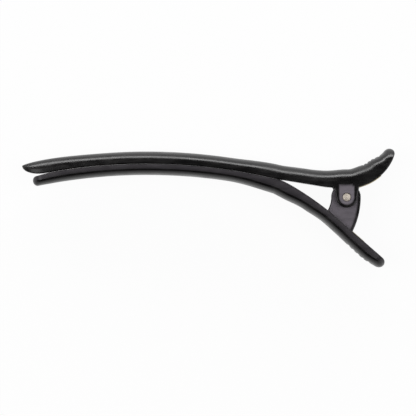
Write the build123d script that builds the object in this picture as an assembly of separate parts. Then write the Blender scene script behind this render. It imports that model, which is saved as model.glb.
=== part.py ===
from build123d import *

import math
import os

# Spring hair clip for sectioning hair, lying on its side.
# +X runs from the jaw tips to the finger levers, +Y from the lower arm to the upper arm and +Z across
# the width. The origin is the hinge-pin axis on the side face that the clip rests on. Millimetres,
# with angles in degrees.

# ---- Widths across the clip, along Z
WIDTH = 11.0  # side face to side face
OUTER_EAR = 1.4  # thickness of each ear of the upper arm
INNER_EAR = 1.3  # thickness of each ear of the lower arm
EAR_PLAY = 0.2  # side clearance between an outer and an inner ear
UPPER_TIP_WIDTH = 6.6  # upper jaw, where its rounded tip starts
LOWER_TIP_WIDTH = 7.4  # lower jaw, where its blunt tip starts
TAPER_START = 24.0  # along the mating line, where the jaws start to narrow

# ---- Hinge
PIN_DIA = 2.6
PIN_PLAY = 0.06  # radial running clearance in the inner ears
PIN_CHAMFER = 0.2
OUTER_EAR_RADIUS = 3.1
OUTER_EAR_FLARE = 0.8  # how much further each side of the ear reaches where it meets the arm
INNER_EAR_RADIUS = 4.2
ROOF_PLAY = 0.35  # between the inner ears and the pocket in the upper arm
EAR_EDGE = 0.4  # rounding of the ears' rims
EAR_SEAT = 1.2  # how deep the ears are rooted in their arms
WEB_BACK = 1.4  # the inner ears' web on the finger lever, from the foot towards the jaws
WEB_FRONT = 8.0  # the same, towards the lever's end

# ---- Mating line of the closed jaws, from the fork to the tips
JAW_GAP = 0.15  # between the closed jaws
JAW_RADIUS = 165.0
UPPER_JAW_LENGTH = 75.4
LOWER_JAW_LENGTH = 73.2

# ---- Inner edge of the upper arm, outwards from the point above the hinge
ROOF_OFFSET = 0.6  # from the pin axis towards the levers
ROOF_HEIGHT = 2.75  # above the pin axis
ROOF_FLAT = 3.1
UPPER_BEND_RADIUS = 28.0
UPPER_SLOPE = 9.5  # of the straight stretch between hinge and fork
UPPER_STRAIGHT = 12.0
FORK_RADIUS = 20.0
FORK_TURN = 4.0  # from the straight stretch to the mating line
THUMB_RADIUS = 14.3
THUMB_TURN = 77.8  # the curl of the thumb lever

# ---- Inner edge of the lower arm, outwards from its foot, the point square below the hinge
FOOT_DISTANCE = 6.5  # from the pin axis
FINGER_SLOPE = 41.0  # of the finger lever, below the X axis
FINGER_LENGTH = 21.6
FOOT_HANDLE = 6.0  # how far the curve from foot to fork holds the lever's direction
FORK_HANDLE = 3.0  # how far it holds the mating line's direction

# ---- Reach of the arms' outer faces, square to their inner edges
UPPER_TIP_THICK = 3.9
UPPER_JAW_THICK = 3.55
UPPER_FORK_THICK = 4.2
UPPER_ROOT_THICK = 4.45
ROOF_THICK = 5.5
THUMB_THICK = 5.8
THUMB_MIDDLE_THICK = 5.4
THUMB_END_THICK = 2.9
LOWER_JAW_THICK = 3.4
LOWER_FORK_THICK = 4.6
LOWER_ROOT_THICK = 3.95
FOOT_THICK = 3.55
FINGER_THICK = 3.95
FINGER_END_THICK = 3.15
FORK_BLEND = 15.0  # along the mating line, where the jaws swell towards the fork
TIP_BLEND = 18.0  # along the upper jaw, where it swells towards its rounded tip
TIP_RELIEF = 0.5  # extra gap between the jaws at the lower jaw's tip
RELIEF_LENGTH = 8.0
EDGE_RADIUS = 0.35  # along the inner faces

# ---- Places of the knots of thickness, as shares of the stretch that they lie on
UPPER_ROOT_PLACE = 0.6  # from the hinge to the fork
THUMB_PLACE = 0.25  # along the thumb lever
THUMB_MIDDLE_PLACE = 0.55
LOWER_ROOT_PLACE = 0.4  # from the foot to the fork
LOWER_GAP_PLACE = 0.7
LOWER_FORK_PLACE = 0.8
FINGER_PLACE = 0.7  # along the finger lever

# ---- Domes of the outer faces: share of the thickness that is domed, and the most it may be
UPPER_CROWN_SHARE = 0.78
UPPER_CROWN_MAX = 3.3
LOWER_CROWN_SHARE = 0.55
LOWER_CROWN_MAX = 2.0

# ---- Rounded ends of the arms
BEAK_LENGTH = 6.0  # the upper tip, in the side view and in plan
BEAK_LIFT = 3.35  # the tip's point above the mating line
BLUNT_LENGTH = 1.3  # the lower tip in the side view
BLUNT_PLAN = 3.0  # the lower tip in plan
THUMB_END = 1.6  # the lever ends in the side view
FINGER_END = 1.8
LEVER_PLAN = 3.6  # both lever ends in plan
LEVER_TAPER = 7.2  # along the levers, where they narrow towards their ends
LEVER_END_WIDTH = 9.0

# ---- Channel in the upper jaw and the teeth of both jaws
CHANNEL_WIDTH = 5.2
CHANNEL_DEPTH = 1.35
CHANNEL_START = 6.0  # along the mating line, from the fork
CHANNEL_END = 62.0
TOOTH_PITCH = 6.2
TOOTH_LENGTH = 2.2  # at the root
TOOTH_TIP_LENGTH = 0.8
TOOTH_HEIGHT = 1.0  # above the mating line
TOOTH_PLAY = 0.4  # beside the lower teeth, in the channel
TOOTH_SEAT = 0.3  # how deep the teeth are rooted

# ---- Torsion spring
WIRE_DIA = 1.0
COIL_RADIUS = 2.0  # to the middle of the wire
COIL_TURNS = 3  # whole turns, besides the part turn between the legs
COIL_PITCH = 1.08
GROOVE_WIDTH = 1.5  # of the seats of the legs in the levers
GROOVE_DEPTH = 0.8
LEG_PLAY = 0.08  # between a leg and the bottom of its groove
THUMB_LEG_TURN = 42.0  # how far round the thumb lever the upper leg reaches
FINGER_LEG_SLOPE = 70.0  # of the lower leg as it leaves the coil
FINGER_LEG_LENGTH = 4.0  # of the part that lies along the finger lever
LEG_BEND = 2.5  # radius of the lower leg's bend
GROOVE_SPARE = 1.0  # beyond the end of each leg
GROOVE_LEAD = 2.0  # of the finger lever's groove, ahead of the leg's corner

# ---- Grip scallops on the backs of the levers
GRIP_COUNT = 5
GRIP_PITCH = 1.9
GRIP_END = 4.0  # from the lever's end to the last scallop
GRIP_RADIUS = 0.9
GRIP_DEPTH = 0.2

MID = WIDTH / 2
OUTER_EAR_IN = MID - OUTER_EAR
INNER_EAR_OUT = OUTER_EAR_IN - EAR_PLAY
INNER_EAR_IN = INNER_EAR_OUT - INNER_EAR
OVERCUT = 1.0  # how far a cutter reaches past the face that it opens
END_ANGLES = (80, 66, 52, 38, 22, 8)  # where a rounded end has its sections, up its quarter turn
STATION_STEP = 6.0  # between the other sections of an arm


def heading(angle):
    """Unit vector in the side plane."""
    return Vector(math.cos(math.radians(angle)), math.sin(math.radians(angle)), 0)


def chain(start, angle, *pieces):
    """Smooth chain of straights, given as (length,), and arcs, given as (radius, turn)."""
    edges = []
    for piece in pieces:
        if len(piece) == 1:
            edges.append(Line(start, start + heading(angle) * piece[0]))
        else:
            edges.append(JernArc(start, heading(angle), *piece))
            angle += piece[1]
        start = edges[-1] @ 1
    return edges


def ease(knots, at):
    """Value at a place on a line of (place, value) knots, with a level stretch at each knot."""
    for (start, low), (end, high) in zip(knots, knots[1:]):
        if at <= end:
            share = max(0.0, (at - start) / (end - start))
            return low + (high - low) * share * share * (3 - 2 * share)
    return knots[-1][1]


def rounding(left, reach):
    """Share of the full size that an elliptical end keeps at a distance from its extreme point."""
    return 1.0 if left >= reach else math.sqrt(1 - (1 - left / reach) ** 2)


def narrowing(along, start, end, full, narrow):
    """Width that falls from full at start to narrow at end, ever faster."""
    share = max(0.0, (along - start) / (end - start))
    return full - (full - narrow) * share**2


def section(edge, along, side, dome, base, top, width):
    """Arm section: flat with small corners on the inner edge's side, domed on the other."""
    point = edge.position_at(along, position_mode=PositionMode.LENGTH)
    tangent = edge.tangent_at(along, position_mode=PositionMode.LENGTH)
    outward = Vector(-tangent.Y, tangent.X, 0)
    if outward.Y * side < 0:
        outward = outward * -1
    plane = Plane(Vector(point.X, point.Y, MID), x_dir=(0, 0, 1), z_dir=Vector(0, 0, 1).cross(outward))
    half = width / 2
    crown_share, crown_max = dome
    crown = min(crown_share * (top - base), crown_max)
    corner = min(EDGE_RADIUS, (top - base - crown) / 2)
    with BuildSketch(plane) as sketch:
        with BuildLine():
            Line((corner - half, base), (half - corner, base))
            CenterArc((half - corner, base + corner), corner, -90, 90)
            Line((half, base + corner), (half, top - crown))
            EllipticalCenterArc((0, top - crown), half, crown, start_angle=0, arc_size=180)
            Line((-half, top - crown), (-half, base + corner))
            CenterArc((corner - half, base + corner), corner, 180, 90)
        make_face()
    return sketch.sketch


def plate(outline, start, end):
    """Solid between two heights, from the edges of a closed outline in the side plane."""
    return extrude(Plane.XY.offset(start) * make_face(outline), end - start)


def both_sides(solid):
    """The solid and its mirror image about the middle of the width."""
    return solid + mirror(solid, about=Plane.XY.offset(MID))


def polygon(*points):
    return Polyline(*points, close=True).edges()


def sector(center, inner, outer, start, end):
    """Outline of a piece of a ring, with its angles counted from +X."""
    return [
        CenterArc(center, inner, start, end - start),
        Line(center + heading(end) * inner, center + heading(end) * outer),
        CenterArc(center, outer, end, start - end),
        Line(center + heading(start) * outer, center + heading(start) * inner),
    ]


# ---- Inner edges. The upper and the lower jaw share the mating line from the fork on.
roof = Vector(ROOF_OFFSET, ROOF_HEIGHT, 0)
upper_root = chain(
    roof,
    180,
    (ROOF_FLAT,),
    (UPPER_BEND_RADIUS, -UPPER_SLOPE),
    (UPPER_STRAIGHT,),
    (FORK_RADIUS, -FORK_TURN),
)
fork = upper_root[-1] @ 1
fork_angle = 180 - UPPER_SLOPE - FORK_TURN
jaw_center = fork + heading(fork_angle + 90) * JAW_RADIUS
upper_turn = math.degrees(UPPER_JAW_LENGTH / JAW_RADIUS)
lower_turn = math.degrees(LOWER_JAW_LENGTH / JAW_RADIUS)
upper_edge = Wire(upper_root + chain(fork, fork_angle, (JAW_RADIUS, upper_turn)))
thumb_edge = Wire(chain(roof, 0, (THUMB_RADIUS, THUMB_TURN)))
thumb_center = roof + heading(90) * THUMB_RADIUS

foot = heading(-90 - FINGER_SLOPE) * FOOT_DISTANCE
foot_curve = Bezier(
    foot,
    foot + heading(180 - FINGER_SLOPE) * FOOT_HANDLE,
    fork - heading(fork_angle) * FORK_HANDLE,
    fork,
)
lower_edge = Wire([foot_curve] + chain(fork, fork_angle, (JAW_RADIUS, lower_turn)))
finger_edge = Wire(chain(foot, -FINGER_SLOPE, (FINGER_LENGTH,)))


def branch(edge, side, dome, reach, shape):
    """Sections of half an arm, from near its extreme point back to the hinge.

    shape gives base, top and width from the distance that is left to the extreme point, and reach is
    the length of the rounded end.
    """
    lefts = [reach * (1 - math.sin(math.radians(angle))) for angle in END_ANGLES]
    count = math.ceil((edge.length - reach) / STATION_STEP)
    lefts += [reach + (edge.length - reach) * step / count for step in range(count)]
    return [section(edge, edge.length - left, side, dome, *shape(left)) for left in lefts]


def rounded(base, top, middle, kept):
    """The reach of an end's two faces, drawn together towards a level between them."""
    return middle + (base - middle) * kept, middle + (top - middle) * kept


# ---- Upper arm
upper_dome = (UPPER_CROWN_SHARE, UPPER_CROWN_MAX)
upper_root_length = upper_edge.length - UPPER_JAW_LENGTH
upper_reach = [
    (0, ROOF_THICK),
    (upper_root_length * UPPER_ROOT_PLACE, UPPER_ROOT_THICK),
    (upper_root_length, UPPER_FORK_THICK),
    (upper_root_length + FORK_BLEND, UPPER_JAW_THICK),
    (upper_edge.length - BEAK_LENGTH - TIP_BLEND, UPPER_JAW_THICK),
    (upper_edge.length - BEAK_LENGTH, UPPER_TIP_THICK),
]
thumb_reach = [
    (0, ROOF_THICK),
    (thumb_edge.length * THUMB_PLACE, THUMB_THICK),
    (thumb_edge.length * THUMB_MIDDLE_PLACE, THUMB_MIDDLE_THICK),
    (thumb_edge.length, THUMB_END_THICK),
]


def upper_jaw_shape(left):
    along = upper_edge.length - left
    kept = rounding(left, BEAK_LENGTH)
    base, top = rounded(0, ease(upper_reach, along), BEAK_LIFT, kept)
    width = narrowing(along, upper_root_length + TAPER_START, upper_edge.length, WIDTH, UPPER_TIP_WIDTH)
    return base, top, width * kept


def lever_shape(edge, reach, end, left):
    """Base, top and width of a lever."""
    along = edge.length - left
    top = ease(reach, along)
    base, top = rounded(0, top, top / 2, rounding(left, end))
    width = narrowing(along, edge.length - LEVER_TAPER, edge.length, WIDTH, LEVER_END_WIDTH)
    return base, top, width * rounding(left, LEVER_PLAN)


def thumb_shape(left):
    return lever_shape(thumb_edge, thumb_reach, THUMB_END, left)


upper_sections = branch(upper_edge, 1, upper_dome, BEAK_LENGTH, upper_jaw_shape)
upper_sections += [section(thumb_edge, 0, 1, upper_dome, 0, ROOF_THICK, WIDTH)]
upper_sections += reversed(branch(thumb_edge, 1, upper_dome, LEVER_PLAN, thumb_shape))
upper_arm = loft(upper_sections)

pocket_radius = INNER_EAR_RADIUS + ROOF_PLAY
upper_arm -= plate([CenterArc((0, 0), pocket_radius, 0, 360)], MID - OUTER_EAR_IN, MID + OUTER_EAR_IN)

ear_top = ROOF_HEIGHT + EAR_SEAT
ear_flare = OUTER_EAR_RADIUS + OUTER_EAR_FLARE
outer_ear_outline = [
    CenterArc((0, 0), OUTER_EAR_RADIUS, 180, 180),
    Line((OUTER_EAR_RADIUS, 0), (ear_flare, ear_top)),
    Line((ear_flare, ear_top), (-ear_flare, ear_top)),
    Line((-ear_flare, ear_top), (-OUTER_EAR_RADIUS, 0)),
]
outer_ear = plate(outer_ear_outline, 0, OUTER_EAR)
outer_ear = fillet(outer_ear.faces().filter_by(Axis.Z).edges(), EAR_EDGE)
upper_arm += both_sides(outer_ear)
upper_arm -= plate([CenterArc((0, 0), PIN_DIA / 2, 0, 360)], 0, WIDTH)

# ---- Lower arm
lower_dome = (LOWER_CROWN_SHARE, LOWER_CROWN_MAX)
lower_root_length = lower_edge.length - LOWER_JAW_LENGTH
lower_base = [
    (0, 0),
    (lower_root_length * LOWER_GAP_PLACE, JAW_GAP),
    (lower_edge.length - RELIEF_LENGTH, JAW_GAP),
    (lower_edge.length, JAW_GAP + TIP_RELIEF),
]
lower_reach = [
    (0, FOOT_THICK),
    (lower_root_length * LOWER_ROOT_PLACE, LOWER_ROOT_THICK),
    (lower_root_length * LOWER_FORK_PLACE, LOWER_FORK_THICK),
    (lower_root_length + FORK_BLEND, LOWER_JAW_THICK),
]
finger_reach = [
    (0, FOOT_THICK),
    (finger_edge.length * FINGER_PLACE, FINGER_THICK),
    (finger_edge.length, FINGER_END_THICK),
]


def lower_jaw_shape(left):
    along = lower_edge.length - left
    base = ease(lower_base, along)
    top = ease(lower_reach, along)
    base, top = rounded(base, top, (base + top) / 2, rounding(left, BLUNT_LENGTH))
    width = narrowing(along, lower_root_length + TAPER_START, lower_edge.length, WIDTH, LOWER_TIP_WIDTH)
    return base, top, width * rounding(left, BLUNT_PLAN)


def finger_shape(left):
    return lever_shape(finger_edge, finger_reach, FINGER_END, left)


lower_sections = branch(lower_edge, -1, lower_dome, BLUNT_PLAN, lower_jaw_shape)
lower_sections += [section(finger_edge, 0, -1, lower_dome, 0, FOOT_THICK, WIDTH)]
lower_sections += reversed(branch(finger_edge, -1, lower_dome, LEVER_PLAN, finger_shape))
lower_arm = loft(lower_sections)

seat = heading(-90 - FINGER_SLOPE) * EAR_SEAT
web_back = foot + heading(180 - FINGER_SLOPE) * WEB_BACK
web_front = foot + heading(-FINGER_SLOPE) * WEB_FRONT
inner_ear_outline = [
    CenterArc((0, 0), INNER_EAR_RADIUS, 0, 180),
    TangentArc((-INNER_EAR_RADIUS, 0), web_back, tangent=(0, -1)),
    Line(web_back, web_back + seat),
    Line(web_back + seat, web_front + seat),
    Line(web_front + seat, web_front),
    TangentArc((INNER_EAR_RADIUS, 0), web_front, tangent=(0, -1)),
]
inner_ear = plate(inner_ear_outline, MID - INNER_EAR_OUT, MID - INNER_EAR_IN)
lower_arm += both_sides(inner_ear)
lower_arm -= plate([CenterArc((0, 0), PIN_DIA / 2 + PIN_PLAY, 0, 360)], 0, WIDTH)

# ---- Channel in the upper jaw, and the teeth. Angles run round the centre of the mating line.
jaw_start = fork_angle - 90


def along_jaw(length):
    """Angle at a distance from the fork."""
    return jaw_start + math.degrees(length / JAW_RADIUS)


def tooth(middle, root, tip, width):
    """Tooth across the jaw that tapers from one height above the mating line to another."""
    corners = [
        jaw_center + heading(along_jaw(middle + side * length / 2)) * (JAW_RADIUS + height)
        for side, length, height in (
            (-1, TOOTH_LENGTH, root),
            (1, TOOTH_LENGTH, root),
            (1, TOOTH_TIP_LENGTH, tip),
            (-1, TOOTH_TIP_LENGTH, tip),
        )
    ]
    return plate(polygon(*corners), MID - width / 2, MID + width / 2)


channel = plate(
    sector(
        jaw_center,
        JAW_RADIUS - OVERCUT,
        JAW_RADIUS + CHANNEL_DEPTH,
        along_jaw(CHANNEL_START),
        along_jaw(CHANNEL_END),
    ),
    MID - CHANNEL_WIDTH / 2,
    MID + CHANNEL_WIDTH / 2,
)
upper_arm -= channel
tooth_count = int((CHANNEL_END - CHANNEL_START) / TOOTH_PITCH)
first_tooth = (CHANNEL_START + CHANNEL_END - (tooth_count - 1) * TOOTH_PITCH) / 2
lower_teeth = [first_tooth + step * TOOTH_PITCH for step in range(tooth_count)]
upper_teeth = [place + TOOTH_PITCH / 2 for place in lower_teeth[:-1]]
upper_tooth_width = CHANNEL_WIDTH + 2 * TOOTH_SEAT
lower_tooth_width = CHANNEL_WIDTH - 2 * TOOTH_PLAY
upper_arm += [tooth(place, CHANNEL_DEPTH + TOOTH_SEAT, 0, upper_tooth_width) for place in upper_teeth]
lower_arm += [tooth(place, -JAW_GAP - TOOTH_SEAT, TOOTH_HEIGHT, lower_tooth_width) for place in lower_teeth]

# ---- Torsion spring: a coil round the pin, and one leg in a groove of each lever. A side angle is
# where, seen from the pin, a leg touches the coil.
wire = WIRE_DIA / 2
leg_depth = GROOVE_DEPTH - LEG_PLAY - wire  # of a leg's middle below the lever's face
thumb_leg_radius = THUMB_RADIUS - leg_depth
thumb_leg_side = math.degrees(
    math.acos((thumb_leg_radius + COIL_RADIUS) / thumb_center.length)
    + math.atan2(thumb_center.Y, thumb_center.X)
)
finger_leg_side = 270 - FINGER_LEG_SLOPE
part_turn = (finger_leg_side - thumb_leg_side) % 360
coil_height = COIL_PITCH * (COIL_TURNS + part_turn / 360)
finger_leg_z = MID - coil_height / 2
thumb_leg_z = MID + coil_height / 2
coil_path = Helix(COIL_PITCH, coil_height, COIL_RADIUS, lefthand=True)
coil_path = coil_path.moved(Location((0, 0, finger_leg_z), (0, 0, finger_leg_side)))

thumb_leg_slope = thumb_leg_side - 90
thumb_leg = chain(
    coil_path @ 1,
    thumb_leg_slope,
    (math.sqrt(thumb_center.length**2 - (thumb_leg_radius + COIL_RADIUS) ** 2),),
    (thumb_leg_radius, THUMB_LEG_TURN - thumb_leg_slope),
)

leg_turn = FINGER_LEG_SLOPE - FINGER_SLOPE
bend_cut = LEG_BEND * math.tan(math.radians(leg_turn / 2))
square = heading(-90 - FINGER_SLOPE)  # from the pin axis square to the finger lever
leg_start = heading(finger_leg_side) * COIL_RADIUS
leg_drop = FOOT_DISTANCE + leg_depth - square.dot(leg_start)
leg_run = leg_drop / square.dot(heading(-FINGER_LEG_SLOPE))
leg_corner = leg_start + heading(-FINGER_LEG_SLOPE) * leg_run
finger_leg = chain(
    coil_path @ 0,
    -FINGER_LEG_SLOPE,
    (leg_run - bend_cut,),
    (LEG_BEND, leg_turn),
    (FINGER_LEG_LENGTH,),
)
spring_path = Wire(finger_leg[::-1] + [coil_path] + thumb_leg)
spring_end = Plane(spring_path @ 0, z_dir=spring_path % 0)
spring = sweep(spring_end * Circle(wire), path=spring_path, transition=Transition.TRANSFORMED)

thumb_groove = sector(
    thumb_center,
    THUMB_RADIUS - GROOVE_DEPTH,
    THUMB_RADIUS + OVERCUT,
    -90,
    THUMB_LEG_TURN - 90 + math.degrees(GROOVE_SPARE / THUMB_RADIUS),
)
upper_arm -= plate(thumb_groove, thumb_leg_z - GROOVE_WIDTH / 2, thumb_leg_z + GROOVE_WIDTH / 2)

groove_start = leg_corner - heading(-FINGER_SLOPE) * GROOVE_LEAD
groove_end = leg_corner + heading(-FINGER_SLOPE) * (bend_cut + FINGER_LEG_LENGTH + GROOVE_SPARE)
groove_floor = square * (LEG_PLAY + wire)
groove_mouth = square * (LEG_PLAY + wire - GROOVE_DEPTH - OVERCUT)
finger_groove = polygon(
    groove_start + groove_floor,
    groove_end + groove_floor,
    groove_end + groove_mouth,
    groove_start + groove_mouth,
)
lower_arm -= plate(finger_groove, finger_leg_z - GROOVE_WIDTH / 2, finger_leg_z + GROOVE_WIDTH / 2)


# ---- Grip scallops across the backs of the levers
def scallops(edge, side, reach):
    """Cylinders that each dip into a lever's domed back; reach gives the back's height."""
    cutters = []
    for step in range(GRIP_COUNT):
        along = edge.length - GRIP_END - step * GRIP_PITCH
        point = edge.position_at(along, position_mode=PositionMode.LENGTH)
        tangent = edge.tangent_at(along, position_mode=PositionMode.LENGTH)
        outward = Vector(-tangent.Y, tangent.X, 0) * side
        middle = point + outward * (reach(along) + GRIP_RADIUS - GRIP_DEPTH)
        cutters.append(plate([CenterArc(middle, GRIP_RADIUS, 0, 360)], 0, WIDTH))
    return cutters


upper_arm -= scallops(thumb_edge, 1, lambda along: ease(thumb_reach, along))
lower_arm -= scallops(finger_edge, -1, lambda along: ease(finger_reach, along))

pin = plate([CenterArc((0, 0), PIN_DIA / 2, 0, 360)], 0, WIDTH)
pin = chamfer(pin.edges().filter_by(GeomType.CIRCLE), PIN_CHAMFER)

os.makedirs("parts", exist_ok=True)
export_step(upper_arm, "parts/upper_jaw.step")
export_step(lower_arm, "parts/lower_jaw.step")
export_step(pin, "parts/hinge_pin.step")
export_step(spring, "parts/torsion_spring.step")
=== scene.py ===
"""Spring hair clip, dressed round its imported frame.

The clip lies on its side: +X runs from the jaw tips to the levers, +Y from the lower arm to the upper
arm and +Z across the width. Sizes in the classes are in millimetres and angles in degrees; meshes are
written in metres.
"""

import logging
import math
from collections.abc import Callable, Sequence
from dataclasses import dataclass
from enum import Enum

import bpy
import numpy as np
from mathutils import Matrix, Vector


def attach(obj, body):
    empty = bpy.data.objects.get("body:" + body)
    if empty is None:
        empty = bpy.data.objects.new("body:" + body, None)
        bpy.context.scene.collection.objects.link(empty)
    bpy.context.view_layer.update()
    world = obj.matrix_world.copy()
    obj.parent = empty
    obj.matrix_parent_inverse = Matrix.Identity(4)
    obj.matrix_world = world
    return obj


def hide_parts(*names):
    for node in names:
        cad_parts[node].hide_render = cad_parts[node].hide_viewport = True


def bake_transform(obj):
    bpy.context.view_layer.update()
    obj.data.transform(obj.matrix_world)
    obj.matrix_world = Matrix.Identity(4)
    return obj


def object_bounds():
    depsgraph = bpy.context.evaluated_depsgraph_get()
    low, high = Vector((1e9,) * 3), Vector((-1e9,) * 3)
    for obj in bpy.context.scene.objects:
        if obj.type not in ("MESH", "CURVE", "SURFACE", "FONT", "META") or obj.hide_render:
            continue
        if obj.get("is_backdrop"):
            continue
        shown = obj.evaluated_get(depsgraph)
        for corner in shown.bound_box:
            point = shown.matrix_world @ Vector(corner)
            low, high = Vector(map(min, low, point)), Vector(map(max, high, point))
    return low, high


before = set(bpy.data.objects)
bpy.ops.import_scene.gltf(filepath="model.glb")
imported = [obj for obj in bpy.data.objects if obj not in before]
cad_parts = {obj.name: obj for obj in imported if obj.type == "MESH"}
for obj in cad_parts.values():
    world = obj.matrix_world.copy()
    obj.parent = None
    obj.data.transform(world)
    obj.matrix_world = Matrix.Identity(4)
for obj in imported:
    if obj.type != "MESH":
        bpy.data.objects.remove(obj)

LOG = logging.getLogger("hair_clip")
METRES = 0.001  # metres in a millimetre
HAIRLINE = 0.01  # half the run of a step that stands square to a surface, mm
SAMPLE = 0.02  # spacing of the places that a course is held by, mm
CURVE_PLACES = 2001  # places that a cubic curve is held by
ROUND = 96  # places round the pin and its bores
CREASE = 32.0  # turn of an arm's edge from which it is shaded sharp, degrees

Law = Callable[[np.ndarray], np.ndarray]


class Back(Enum):
    """Side of an arm's course on which its domed back lies, seen along +X."""

    LEFT = 1
    RIGHT = -1


class Body(Enum):
    """Bodies of the frame."""

    UPPER = "upper"
    LOWER = "lower"


class Merge(Enum):
    """Ways to combine two closed shells."""

    UNITE = "UNION"
    CUT = "DIFFERENCE"


class Maths(Enum):
    """Ways to combine two values in a material."""

    ADD = "ADD"
    TIMES = "MULTIPLY"
    GREATER = "MAXIMUM"


# ------------------------------------------------------------------------------------------ courses


@dataclass(frozen=True)
class Course:
    """Plane curve, held as closely spaced places with the direction at each.

    Attributes:
        length: distance of each place from the start.
        points: the places, one row each.
        heading: direction at each place, in radians from +X.
    """

    length: np.ndarray
    points: np.ndarray
    heading: np.ndarray

    @classmethod
    def bent(cls, start: Sequence[float], heading: float, pieces: Sequence[tuple[float, float]]) -> "Course":
        """Course of straights and arcs, each tangent to the one before.

        The heading is a running sum of each piece's turn, shared evenly along it, and the places are
        the running sum of unit steps along the mid-step headings.

        Args:
            start: first place.
            heading: first direction in degrees.
            pieces: length and turn of each piece; a straight turns by 0.

        Returns:
            The course.
        """
        knots = np.cumsum([0.0] + [length for length, _ in pieces])
        turns = np.radians(heading + np.cumsum([0.0] + [turn for _, turn in pieces]))
        length = np.linspace(0.0, knots[-1], math.ceil(knots[-1] / SAMPLE) + 1)
        angle = np.interp(length, knots, turns)
        middle = np.interp((length[1:] + length[:-1]) / 2, knots, turns)
        steps = np.diff(length)[:, None] * np.column_stack([np.cos(middle), np.sin(middle)])
        points = np.vstack([start, np.asarray(start) + np.cumsum(steps, axis=0)])
        return cls(length, points, angle)

    @classmethod
    def curved(cls, *corners: Sequence[float]) -> "Course":
        """Course along the cubic curve that four corners pull: the sum of the corners, weighted by the
        cubic Bernstein polynomials.

        Args:
            corners: start, the two handles and the end.

        Returns:
            The course.
        """
        share = np.linspace(0.0, 1.0, CURVE_PLACES)[:, None]
        left = 1 - share
        a, b, c, d = (np.asarray(corner, dtype=float) for corner in corners)
        points = left**3 * a + 3 * left**2 * share * b + 3 * left * share**2 * c + share**3 * d
        slope = left**2 * (b - a) + 2 * left * share * (c - b) + share**2 * (d - c)
        length = np.concatenate([[0.0], np.cumsum(np.linalg.norm(np.diff(points, axis=0), axis=1))])
        return cls(length, points, np.unwrap(np.arctan2(slope[:, 1], slope[:, 0])))

    def then(self, other: "Course") -> "Course":
        """This course and another that carries on from its end."""
        return Course(
            np.concatenate([self.length, self.length[-1] + other.length[1:]]),
            np.vstack([self.points, other.points[1:]]),
            np.concatenate([self.heading, other.heading[1:]]),
        )

    def backwards(self) -> "Course":
        """The same curve walked the other way, with lengths that end at 0."""
        return Course(-self.length[::-1], self.points[::-1], self.heading[::-1] + math.pi)

    def onwards(self, other: "Course") -> "Course":
        """This course, whose lengths end at 0, and another from there on."""
        turn = 2 * math.pi * round((self.heading[-1] - other.heading[0]) / (2 * math.pi))
        return Course(
            np.concatenate([self.length, other.length[1:]]),
            np.vstack([self.points, other.points[1:]]),
            np.concatenate([self.heading - turn, other.heading[1:]]),
        )

    def at(self, length: np.ndarray) -> tuple[np.ndarray, np.ndarray]:
        """Places and unit directions at some lengths."""
        heading = np.interp(length, self.length, self.heading)
        points = np.stack([np.interp(length, self.length, self.points[:, axis]) for axis in (0, 1)], axis=-1)
        return points, np.stack([np.cos(heading), np.sin(heading)], axis=-1)

    def square(self, length: np.ndarray) -> tuple[np.ndarray, np.ndarray]:
        """Places at some lengths, and the unit normals to the left of the course."""
        points, along = self.at(length)
        return points, np.stack([-along[..., 1], along[..., 0]], axis=-1)


def toward(angle: float) -> np.ndarray:
    """Unit direction at an angle in degrees from +X."""
    return np.array([math.cos(math.radians(angle)), math.sin(math.radians(angle))])


def ease(knots: Sequence[tuple[float, float]], at: np.ndarray) -> np.ndarray:
    """Smooth steps between knots: in each gap, the cubic with a level end at both knots.

    Args:
        knots: place and value of each knot.
        at: places asked for.

    Returns:
        The value at each place.
    """
    places, values = (np.array(column, dtype=float) for column in zip(*knots))
    gap = np.clip(np.searchsorted(places, at) - 1, 0, len(places) - 2)
    share = np.clip((at - places[gap]) / (places[gap + 1] - places[gap]), 0.0, 1.0)
    return values[gap] + (values[gap + 1] - values[gap]) * share**2 * (3 - 2 * share)


def rounding(left: np.ndarray, reach: float) -> np.ndarray:
    """Share of its size that an elliptical end keeps: the height of a quarter ellipse."""
    return np.sqrt(1 - (1 - np.clip(left / reach, 0.0, 1.0)) ** 2)


def kept(at: np.ndarray, ends: tuple[float, float], reaches: tuple[float, float]) -> np.ndarray:
    """Share of its size that an arm keeps near its two rounded ends.

    Args:
        at: lengths on the arm's course, below 0 on the jaw.
        ends: length of the jaw and of the lever.
        reaches: how far the jaw's and the lever's end is rounded.

    Returns:
        The share.
    """
    return np.where(at < 0, rounding(at + ends[0], reaches[0]), rounding(ends[1] - at, reaches[1]))


def narrowing(along: np.ndarray, start: float, end: float, full: float, narrow: float) -> np.ndarray:
    """Value that falls from full to narrow with the square of the way from start to end."""
    return full - (full - narrow) * np.clip((along - start) / (end - start), 0.0, 1.0) ** 2


def steps(low: float, high: float, step: float) -> np.ndarray:
    """Evenly spaced places from low to high, about a step apart."""
    return np.linspace(low, high, max(2, math.ceil((high - low) / step) + 1))


def both(edges: Sequence[float]) -> np.ndarray:
    """The places a hairline before and after each edge."""
    return np.sort(np.concatenate([np.asarray(edges) - HAIRLINE, np.asarray(edges) + HAIRLINE]))


def spread(places: np.ndarray, least: float) -> np.ndarray:
    """Sorted places without those closer than least to the one before."""
    places = np.sort(places)
    return places[np.concatenate([[True], np.diff(places) > least])]


# ------------------------------------------------------------------------------------------- meshes


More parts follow.
